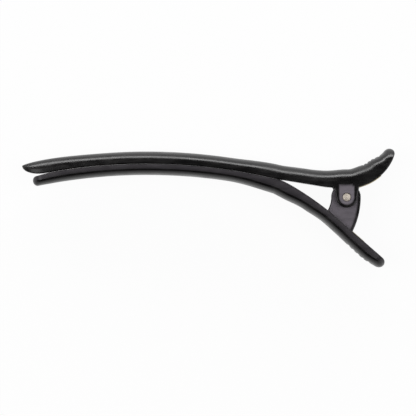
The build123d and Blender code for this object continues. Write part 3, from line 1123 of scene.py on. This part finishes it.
        def rim_inset(across: np.ndarray) -> np.ndarray:
            """Inset of the ear's outline near its inner face, for a quarter-round rim."""
            off = np.clip(hinge.pocket + hinge.ear_edge - np.abs(across), 0.0, hinge.ear_edge)
            return hinge.ear_edge - np.sqrt(hinge.ear_edge**2 - off**2)

        def outer(at: np.ndarray, inset: np.ndarray, low: np.ndarray) -> np.ndarray:
            """Corner of the inner face and the side, which the ear carries down."""
            at = np.broadcast_to(at, inset.shape)
            return np.minimum(low + inset, -self.ear(course, at, inset))

        def crest(at: np.ndarray, height: np.ndarray) -> np.ndarray:
            """Back of the thumb lever under its scallops."""
            return np.where(at > 0, np.minimum(height, self.grip.cut(thumb_length - at, reach(at))), height)

        teeth = line.upper_teeth()
        slant = (line.tooth_foot - line.tooth_tip) / (line.channel_depth + line.tooth_seat)
        foot = line.tooth_tip + slant * line.channel_depth
        turn = np.sin(np.radians(np.arange(-90.0, 91.0, 4.5)))
        (back_start, back_end), (front_start, front_end) = self.close_rows
        stations = np.concatenate(
            [
                end_steps(self.beak_length) - jaw_end,
                steps(self.beak_length - jaw_end, back_start, self.jaw_step),
                -root_length - line.breaks(teeth, foot),
                -root_length - both([line.channel_start, line.channel_end]),
                steps(back_start, back_end, self.close_step),
                self.disc_row + hinge.ear_radius * turn,
                steps(front_start, front_end, self.close_step),
                steps(back_end, thumb_length - self.lever_plan, self.lever_step),
                both([spring.thumb_groove[1]]),
                thumb_length - self.grip.stations(),
                thumb_length - end_steps(self.lever_plan),
            ]
        )
        groove = [spring.rise - spring.groove_half, spring.rise + spring.groove_half]
        edges = both([line.channel_width / 2, hinge.pocket, *groove])
        rim = hinge.pocket + hinge.ear_edge * (1 - np.cos(np.radians([20.0, 45.0, 65.0, 90.0])))
        lines = np.concatenate([edges, rim, self.face_lines])
        lines = np.concatenate([-lines, lines])
        arm = Arm(
            name="upper_arm",
            course=course,
            back=Back.LEFT,
            stations=spread(stations, HAIRLINE),
            lines=spread(lines, HAIRLINE / 2),
            base=base,
            top=top,
            half=half,
            inner=inner,
            outer=outer,
            crest=crest,
            crown_share=self.crown_share,
            crown_most=self.crown_most,
            side_satin_and_painted_sheen=self.side_satin_and_painted_sheen,
        ).build()
        combine(arm, cylinder("bore", hinge.pin_radius, -1.0, hinge.width + 1.0), Merge.CUT)
        smooth(arm, CREASE)
        # Paints the ear faces lighter: a painted sheen, along with satin roughness.
        mark(arm, "satin_and_painted_sheen", self.satin_and_painted_sheen)
        dress(arm, finish, Body.UPPER, "upper_jaw")
        return arm


@dataclass(frozen=True)
class LowerArm:
    """Lower arm: blunt tip, jaw with its teeth, finger lever, and the two inner ears."""

    hinge: Hinge
    line: MatingLine
    spring: Spring
    upper: UpperArm
    grip: Grip = Grip()
    jaw_length: float = 73.2
    finger_length: float = 21.6
    foot_handle: float = 6.0
    fork_handle: float = 3.0
    jaw_thick: float = 3.4
    fork_thick: float = 4.6
    root_thick: float = 3.95
    foot_thick: float = 3.55
    finger_thick: float = 3.95
    finger_end_thick: float = 3.15
    root_place: float = 0.4
    gap_place: float = 0.7
    fork_place: float = 0.8
    finger_place: float = 0.7
    crown_share: float = 0.55
    crown_most: float = 2.0
    # share of painted sheen, with satin roughness, on the sides towards the mating line
    side_satin_and_painted_sheen: float = 0.24
    tip_relief: float = 0.5
    relief_length: float = 8.0
    tip_width: float = 7.4
    blunt_length: float = 1.3
    blunt_plan: float = 3.0
    finger_end: float = 1.8
    web_back: float = 1.4
    web_front: float = 8.0
    ear_edge: float = 0.15
    row_step: float = 0.6
    tip_rows: int = 20
    face_lines: tuple[float, ...] = (0.0, 0.5, 1.8, 3.2, 3.9, 4.5, 5.05, 5.15)

    def course(self) -> Course:
        """Inner edge from the tip to the end of the finger lever, with 0 at the foot."""
        root = self.upper.root()
        fork, angle = root.points[-1], math.degrees(root.heading[-1])
        foot = self.hinge.foot
        curve = Course.curved(
            foot,
            foot - self.foot_handle * self.hinge.ahead,
            fork - self.fork_handle * toward(angle),
            fork,
        )
        finger = Course.bent(foot, -self.hinge.finger_slope, [(self.finger_length, 0.0)])
        return curve.then(self.upper.jaw(root, self.jaw_length)).backwards().onwards(finger)

    @staticmethod
    def flank(side: float, end: np.ndarray) -> float:
        """Where, level with the pin, the centre of an ear's side arc lies: as far from the disc's side as
        from the web's end."""
        return (end @ end - side**2) / (2 * (end[0] - side))

    def ear_outline(self) -> np.ndarray:
        """Outline of an inner ear: a disc about the pin, and on each side an arc that leaves it straight
        down and meets the web on the lever."""
        hinge = self.hinge
        deep = hinge.square * hinge.ear_seat
        back, front = hinge.foot - hinge.ahead * self.web_back, hinge.foot + hinge.ahead * self.web_front

        def arc(side: float, end: np.ndarray) -> np.ndarray:
            """Places on one side's arc, from the disc to the web."""
            centre = self.flank(side, end)
            last = math.atan2(end[1] / abs(side - centre), (end[0] - centre) / abs(side - centre))
            turn = np.linspace(0.0, last, 25)
            return np.column_stack(
                [centre + (side - centre) * np.cos(turn), (side - centre) * np.sin(turn)]
            )

        top = np.radians(np.linspace(0.0, 180.0, 61))
        disc = hinge.inner_radius * np.column_stack([np.cos(top), np.sin(top)])
        left = arc(-hinge.inner_radius, back)
        right = arc(hinge.inner_radius, front)
        return np.vstack([disc, left[1:], [back + deep], [front + deep], right[:0:-1]])

    def ear(self, name: str, low: float, high: float) -> bpy.types.Object:
        """An inner ear between two heights: its outline, drawn in at both faces by a quarter round, and
        shrunk in rings over the faces towards the pin."""
        outline = self.ear_outline()
        step = np.roll(outline, -1, axis=0) - np.roll(outline, 1, axis=0)
        inward = np.column_stack([-step[:, 1], step[:, 0]]) / np.linalg.norm(step, axis=1)[:, None]
        turn = np.radians(np.linspace(0.0, 90.0, 6))
        inset = self.ear_edge * (1 - np.sin(turn))
        rise = self.ear_edge * (1 - np.cos(turn))
        shares = np.array([0.45, 0.56, 0.66, 0.75, 0.83, 0.90, 0.96])
        full = np.ones(2 * len(turn))
        scale = np.concatenate([shares, full, shares[::-1]])
        face = np.full(len(shares), self.ear_edge)
        insets = np.concatenate([face, inset, inset[::-1], face])
        heights = np.concatenate(
            [np.full(len(shares), low), low + rise, high - rise[::-1], np.full(len(shares), high)]
        )
        flat = (outline[None] + inward[None] * insets[:, None, None]) * scale[:, None, None]
        rings = np.concatenate(
            [flat, np.broadcast_to(heights[:, None, None], (len(heights), len(outline), 1))], axis=-1
        )
        return shell(name, rings, (np.array([0.0, 0.0, low]), np.array([0.0, 0.0, high])))

    def satin_and_painted_sheen(self, places: np.ndarray) -> np.ndarray:
        """Share of satin, and of the painted sheen that goes with it, on the ears: full inside, none in a
        band along the edge on the levers' side.

        A place belongs to an ear if it lies within the ear's thickness, above the lever, and between the
        arcs of the outline.
        """
        hinge, upper = self.hinge, self.upper
        across, up = places[:, 0], places[:, 1]
        aside = np.abs(places[:, 2] - hinge.middle)
        front = self.flank(hinge.inner_radius, hinge.foot + hinge.ahead * self.web_front)
        back = self.flank(-hinge.inner_radius, hinge.foot - hinge.ahead * self.web_back)
        depth = hinge.inner_radius - front - np.hypot(across - front, up)
        belongs = (aside > hinge.inner_in - HAIRLINE) & (aside < hinge.inner_out + HAIRLINE)
        belongs &= places[:, :2] @ hinge.square < hinge.foot_distance + HAIRLINE
        belongs &= np.hypot(across - back, up) > -hinge.inner_radius - back - HAIRLINE
        return np.where(belongs, np.clip((depth - upper.ear_rim) / upper.ear_fade, 0.0, 1.0), 0.0)

    def build(self, finish: bpy.types.Material) -> bpy.types.Object:
        """Builds and dresses the arm."""
        hinge, line, spring, upper = self.hinge, self.line, self.spring, self.upper
        course = self.course()
        jaw_end, finger_length = -course.length[0], course.length[-1]
        root_length = jaw_end - self.jaw_length
        gap_knots = [
            (0.0, 0.0),
            (root_length * self.gap_place, line.gap),
            (jaw_end - self.relief_length, line.gap),
            (jaw_end, line.gap + self.tip_relief),
        ]
        jaw_knots = [
            (0.0, self.foot_thick),
            (root_length * self.root_place, self.root_thick),
            (root_length * self.fork_place, self.fork_thick),
            (root_length + upper.fork_blend, self.jaw_thick),
        ]
        finger_knots = [
            (0.0, self.foot_thick),
            (finger_length * self.finger_place, self.finger_thick),
            (finger_length, self.finger_end_thick),
        ]

        def gap(at: np.ndarray) -> np.ndarray:
            """Distance of the undrawn inner face from the mating line."""
            return np.where(at < 0, ease(gap_knots, -at), 0.0)

        def reach(at: np.ndarray) -> np.ndarray:
            """Distance of the undrawn back from the mating line."""
            return np.where(at < 0, ease(jaw_knots, -at), ease(finger_knots, at))

        ends = (jaw_end, finger_length)

        def share(at: np.ndarray) -> np.ndarray:
            """Share of the thickness that the rounded ends keep."""
            return kept(at, ends, (self.blunt_length, self.finger_end))

        def base(at: np.ndarray) -> np.ndarray:
            """Inner face."""
            heart = (gap(at) + reach(at)) / 2
            return heart + (gap(at) - heart) * share(at)

        def top(at: np.ndarray) -> np.ndarray:
            """Back."""
            heart = (gap(at) + reach(at)) / 2
            return heart + (reach(at) - heart) * share(at)

        def half(at: np.ndarray) -> np.ndarray:
            """Half the width."""
            jaw = narrowing(-at, root_length + upper.taper_start, jaw_end, hinge.width, self.tip_width)
            taper = finger_length - upper.lever_taper
            lever = narrowing(at, taper, finger_length, hinge.width, upper.lever_width)
            return np.where(at < 0, jaw, lever) * kept(at, ends, (self.blunt_plan, upper.lever_plan)) / 2

        tooth_half = line.channel_width / 2 - line.tooth_play
        slant = (line.tooth_foot - line.tooth_tip) / (line.tooth_height + line.gap + line.tooth_seat)
        teeth = line.lower_teeth()

        def inner(at: np.ndarray, across: np.ndarray, low: np.ndarray) -> np.ndarray:
            """Inner face with the teeth that stand on it and the leg's groove."""
            off = line.nearest(-at - root_length, teeth)
            tooth = np.clip((off - line.tooth_tip) / slant - line.tooth_height, -line.tooth_height, low)
            face = np.where(np.abs(across) < tooth_half, tooth, low)
            groove = spring.grooved(at, across, spring.finger_groove, -spring.rise)
            return np.where(groove, spring.groove_depth, face)

        def outer(at: np.ndarray, inset: np.ndarray, low: np.ndarray) -> np.ndarray:
            """Corner of the inner face and the side."""
            return low + inset

        def crest(at: np.ndarray, height: np.ndarray) -> np.ndarray:
            """Back of the finger lever under its scallops."""
            cut = self.grip.cut(finger_length - at, reach(at))
            return np.where(at > 0, np.minimum(height, cut), height)

        foot = line.tooth_tip + slant * (line.tooth_height + line.gap)
        stations = np.concatenate(
            [
                end_steps(self.blunt_plan, self.tip_rows) - jaw_end,
                steps(self.blunt_plan - jaw_end, 0.0, self.row_step),
                -root_length - line.breaks(teeth, foot),
                steps(0.0, finger_length - upper.lever_plan, self.row_step),
                both(spring.finger_groove),
                finger_length - self.grip.stations(),
                finger_length - end_steps(upper.lever_plan),
            ]
        )
        edges = both([tooth_half, spring.rise - spring.groove_half, spring.rise + spring.groove_half])
        lines = np.concatenate([edges, self.face_lines])
        arm = Arm(
            name="lower_arm",
            course=course,
            back=Back.RIGHT,
            stations=spread(stations, HAIRLINE),
            lines=spread(np.concatenate([-lines, lines]), HAIRLINE / 2),
            base=base,
            top=top,
            half=half,
            inner=inner,
            outer=outer,
            crest=crest,
            crown_share=self.crown_share,
            crown_most=self.crown_most,
            side_satin_and_painted_sheen=self.side_satin_and_painted_sheen,
        ).build()
        middle = hinge.middle
        for name, low, high in (
            ("ear_low", middle - hinge.inner_out, middle - hinge.inner_in),
            ("ear_high", middle + hinge.inner_in, middle + hinge.inner_out),
        ):
            combine(arm, self.ear(name, low, high), Merge.UNITE)
        bore = cylinder("bore", hinge.pin_radius + hinge.pin_play, -1.0, hinge.width + 1.0)
        combine(arm, bore, Merge.CUT)
        smooth(arm, CREASE)
        # Paints the inner ear faces lighter: a painted sheen, along with satin roughness.
        mark(arm, "satin_and_painted_sheen", self.satin_and_painted_sheen)
        dress(arm, finish, Body.LOWER, "lower_jaw")
        return arm


# ----------------------------------------------------------------------------------- pin and spring


@dataclass(frozen=True)
class HingePin:
    """Pin pressed into the outer ears, with chamfered, barely domed ends."""

    hinge: Hinge
    dome: float = 0.08
    ease: float = 0.005  # by which the shank stays inside its bore
    centre: float = 0.12  # share of the flat end at its innermost ring
    collar: float = 0.4  # from the chamfer to the shank's first ring

    def build(self, finish: bpy.types.Material) -> bpy.types.Object:
        """Builds and dresses the pin: a dome's arc, the chamfer and the shank, turned about its axis."""
        hinge = self.hinge
        radius = hinge.pin_radius - self.ease
        flat = radius - hinge.pin_chamfer
        share = np.linspace(self.centre, 1.0, 8)
        low = self.dome * share**2
        bottom = np.column_stack([flat * share, low])
        edge = np.array([[radius, self.dome + hinge.pin_chamfer], [radius, hinge.pin_chamfer + self.collar]])
        half = np.vstack([bottom, edge])
        other = np.column_stack([half[::-1, 0], hinge.width - half[::-1, 1]])
        rings = lathe(np.vstack([half, other]), ROUND)
        pin = shell("pin", rings, (np.array([0.0, 0.0, 0.0]), np.array([0.0, 0.0, hinge.width])))
        smooth(pin, 30.0)
        dress(pin, finish, Body.UPPER, "hinge_pin")
        return pin


@dataclass(frozen=True)
class TorsionSpring:
    """Torsion spring: its wire carried along the layout's coil and legs."""

    layout: Spring
    around: int = 28
    end_angles: tuple[float, ...] = (72.0, 50.0, 28.0, 10.0)
    share: float = 0.15  # of the coil's height that each end turns with its arm

    def path(self) -> np.ndarray:
        """Middle of the wire, from the end of the finger leg to the end of the thumb leg.

        The legs are straights and arcs in planes across the pin axis, each tangent to the coil's circle,
        and the coil is a left-hand helix between their planes.

        Returns:
            The places, one row each.
        """
        plan = self.layout
        hinge = plan.hinge
        slope = plan.thumb_side - 90.0
        arc = plan.thumb_turn - slope
        run = math.sqrt(plan.thumb_centre @ plan.thumb_centre - (plan.thumb_leg + plan.coil) ** 2)
        thumb = Course.bent(
            plan.coil * toward(plan.thumb_side),
            slope,
            [(run, 0.0), (plan.thumb_leg * math.radians(arc), arc)],
        )
        bent = plan.finger_slope - hinge.finger_slope
        finger = Course.bent(
            plan.coil * toward(plan.finger_side),
            -plan.finger_slope,
            [(plan.run - plan.cut, 0.0), (plan.bend * math.radians(bent), bent), (plan.finger_leg, 0.0)],
        )
        angle = np.radians(np.linspace(plan.finger_side, plan.finger_side - plan.turn, 40 * plan.turns + 30))
        rise = np.linspace(-plan.rise, plan.rise, len(angle))
        coil = np.column_stack([plan.coil * np.cos(angle), plan.coil * np.sin(angle), rise])

        def level(leg: Course, height: float) -> np.ndarray:
            """Places of a leg, all at one height."""
            flat = leg.at(steps(0.0, leg.length[-1], 0.35))[0]
            return np.column_stack([flat, np.full(len(flat), height)])

        legs = level(finger, -plan.rise)[:0:-1], level(thumb, plan.rise)[1:]
        return np.vstack([legs[0], coil, legs[1]]) + np.array([0.0, 0.0, hinge.middle])

    def build(self, finish: bpy.types.Material) -> bpy.types.Object:
        """Builds and dresses the spring: a circle carried along the path, square to it, with half-round
        ends. The circle's first axis is the direction of +Z made square to the path."""
        path = self.path()
        wire = self.layout.wire
        tangent = np.gradient(path, axis=0)
        tangent /= np.linalg.norm(tangent, axis=1)[:, None]
        up = np.array([0.0, 0.0, 1.0]) - tangent * tangent[:, 2:]
        up /= np.linalg.norm(up, axis=1)[:, None]
        side = np.cross(tangent, up)

        turn = np.radians(self.end_angles)
        beyond = wire / 2 * np.sin(turn)[:, None]
        centre = np.vstack([path[0] - tangent[0] * beyond, path, path[-1] + tangent[-1] * beyond[::-1]])
        ends = wire * np.cos(turn)
        radius = np.concatenate([ends, np.full(len(path), wire), ends[::-1]])
        pad = ((len(turn), len(turn)), (0, 0))
        up, side = np.pad(up, pad, "edge"), np.pad(side, pad, "edge")
        angle = np.linspace(0.0, 2 * math.pi, self.around, endpoint=False)[None, :, None]
        ring = np.cos(angle) * up[:, None] + np.sin(angle) * side[:, None]
        rings = centre[:, None] + radius[:, None, None] * ring
        poles = (path[0] - tangent[0] * wire / 2, path[-1] + tangent[-1] * wire / 2)
        spring = shell("spring", rings, poles)
        smooth(spring, 50.0)
        spring.data.materials.append(finish)
        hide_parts("torsion_spring")
        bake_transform(spring)
        return spring


# -------------------------------------------------------------------------------------------- stage


@dataclass(frozen=True)
class Studio:
    """Plain white table, soft lamps and the camera straight above."""

    lens: float = 250.0
    fill: float = 0.90
    sensor: float = 36.0
    rim: float = 0.80
    zenith: float = 0.03
    table_size: float = 3.0
    table_grey: float = 0.80
    table_glow: float = 0.95  # share of plain white in what the eye sees of the table
    aim: tuple[float, float, float] = (-0.04, 0.0, 0.005)

    def table(self) -> None:
        """Wide floor under the clip, white to the eye and in reflections, with a soft shadow."""
        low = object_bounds()[0][2]
        size = self.table_size
        mesh = bpy.data.meshes.new("table")
        corners = [(-size, -size, low), (size, -size, low), (size, size, low), (-size, size, low)]
        mesh.from_pydata(corners, [], [(0, 1, 2, 3)])
        floor = bpy.data.objects.new("table", mesh)
        bpy.context.scene.collection.objects.link(floor)
        graph = Graph("table_white")
        path = graph.node("ShaderNodeLightPath")
        seen = graph.sum(path.outputs["Is Camera Ray"], path.outputs["Is Glossy Ray"], Maths.GREATER)
        seen = graph.sum(seen, path.outputs["Is Transmission Ray"], Maths.GREATER)
        matt = graph.node("ShaderNodeBsdfDiffuse", Color=(self.table_grey,) * 3 + (1.0,))
        glow = graph.node("ShaderNodeEmission", Color=(1.0, 1.0, 1.0, 1.0), Strength=1.0)
        both_ways = graph.node(
            "ShaderNodeMixShader", _0=self.table_glow, _1=matt.outputs[0], _2=glow.outputs[0]
        )
        either = graph.node("ShaderNodeMixShader", _0=seen, _1=matt.outputs[0], _2=both_ways.outputs[0])
        graph.tree.links.new(either.outputs[0], graph.output.inputs["Surface"])
        mesh.materials.append(graph.material)
        floor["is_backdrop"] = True

    def lamp(self, name: str, place: Sequence[float], size: tuple[float, float], power: float) -> None:
        """Area lamp that faces the clip.

        Args:
            name: name of the lamp.
            place: where it stands, in metres.
            size: its width and height, in metres.
            power: its power in watts.
        """
        light = bpy.data.lights.new(name, "AREA")
        light.shape = "RECTANGLE"
        light.size, light.size_y = size
        light.energy = power
        lamp = bpy.data.objects.new(name, light)
        lamp.location = place
        aim = np.asarray(self.aim) - np.asarray(place)
        lamp.rotation_euler = (
            math.atan2(math.hypot(aim[0], aim[1]), -aim[2]),
            0.0,
            math.atan2(aim[1], aim[0]) - math.pi / 2,
        )
        bpy.context.scene.collection.objects.link(lamp)

    def sky(self) -> bpy.types.World:
        """Plain white surroundings, bright near the horizon and dim straight above."""
        world = bpy.data.worlds.new("studio")
        world.use_nodes = True
        tree = world.node_tree
        place = tree.nodes.new("ShaderNodeTexCoord").outputs["Generated"]
        split = tree.nodes.new("ShaderNodeSeparateXYZ")
        tree.links.new(place, split.inputs[0])
        height = tree.nodes.new("ShaderNodeMapRange")
        tree.links.new(split.outputs["Z"], height.inputs["Value"])
        levels = {"From Min": 0.03, "From Max": 0.30, "To Min": self.rim, "To Max": self.zenith}
        for name, value in levels.items():
            height.inputs[name].default_value = value
        background = tree.nodes["Background"]
        background.inputs["Color"].default_value = (1.0, 1.0, 1.0, 1.0)
        tree.links.new(height.outputs["Result"], background.inputs["Strength"])
        return world

    def build(self) -> None:
        """Sets the table, the lamps, the surroundings and the camera."""
        scene = bpy.context.scene
        self.table()
        self.lamp("window", (-0.10, 0.85, 0.17), (1.4, 0.32), 16.0)
        self.lamp("left", (-0.59, 0.0, 0.70), (0.6, 0.6), 3.6)
        self.lamp("right", (0.51, 0.0, 0.70), (0.6, 0.6), 3.6)
        scene.world = self.sky()
        scene.view_settings.view_transform = "Standard"

        low, high = (np.array(corner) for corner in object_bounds())
        middle = (low + high) / 2
        span = (high[0] - low[0]) / self.fill
        distance = span * self.lens / self.sensor
        camera = bpy.data.objects.new("camera", bpy.data.cameras.new("camera"))
        camera.data.lens = self.lens
        camera.data.sensor_width = self.sensor
        camera.data.clip_start = 0.01
        camera.location = (middle[0], middle[1], high[2] + distance)
        scene.collection.objects.link(camera)
        scene.camera = camera


def main() -> None:
    """Builds the clip piece by piece, and the studio round it."""
    logging.basicConfig(level=logging.INFO, format="%(name)s: %(message)s")
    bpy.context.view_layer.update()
    hinge = Hinge()
    line = MatingLine()
    layout = Spring(hinge)
    plastic = MouldedPlastic().material()
    upper = UpperArm(hinge, line, layout)
    pieces = [
        upper.build(plastic),
        LowerArm(hinge, line, layout, upper).build(plastic),
        HingePin(hinge).build(TurnedSteel().material()),
        TorsionSpring(layout).build(SpringWire().material()),
    ]
    for piece in pieces:
        piece.data.calc_loop_triangles()
        LOG.info("%s: %d triangles", piece.name, len(piece.data.loop_triangles))
    Studio().build()


if __name__ == "__main__":
    main()
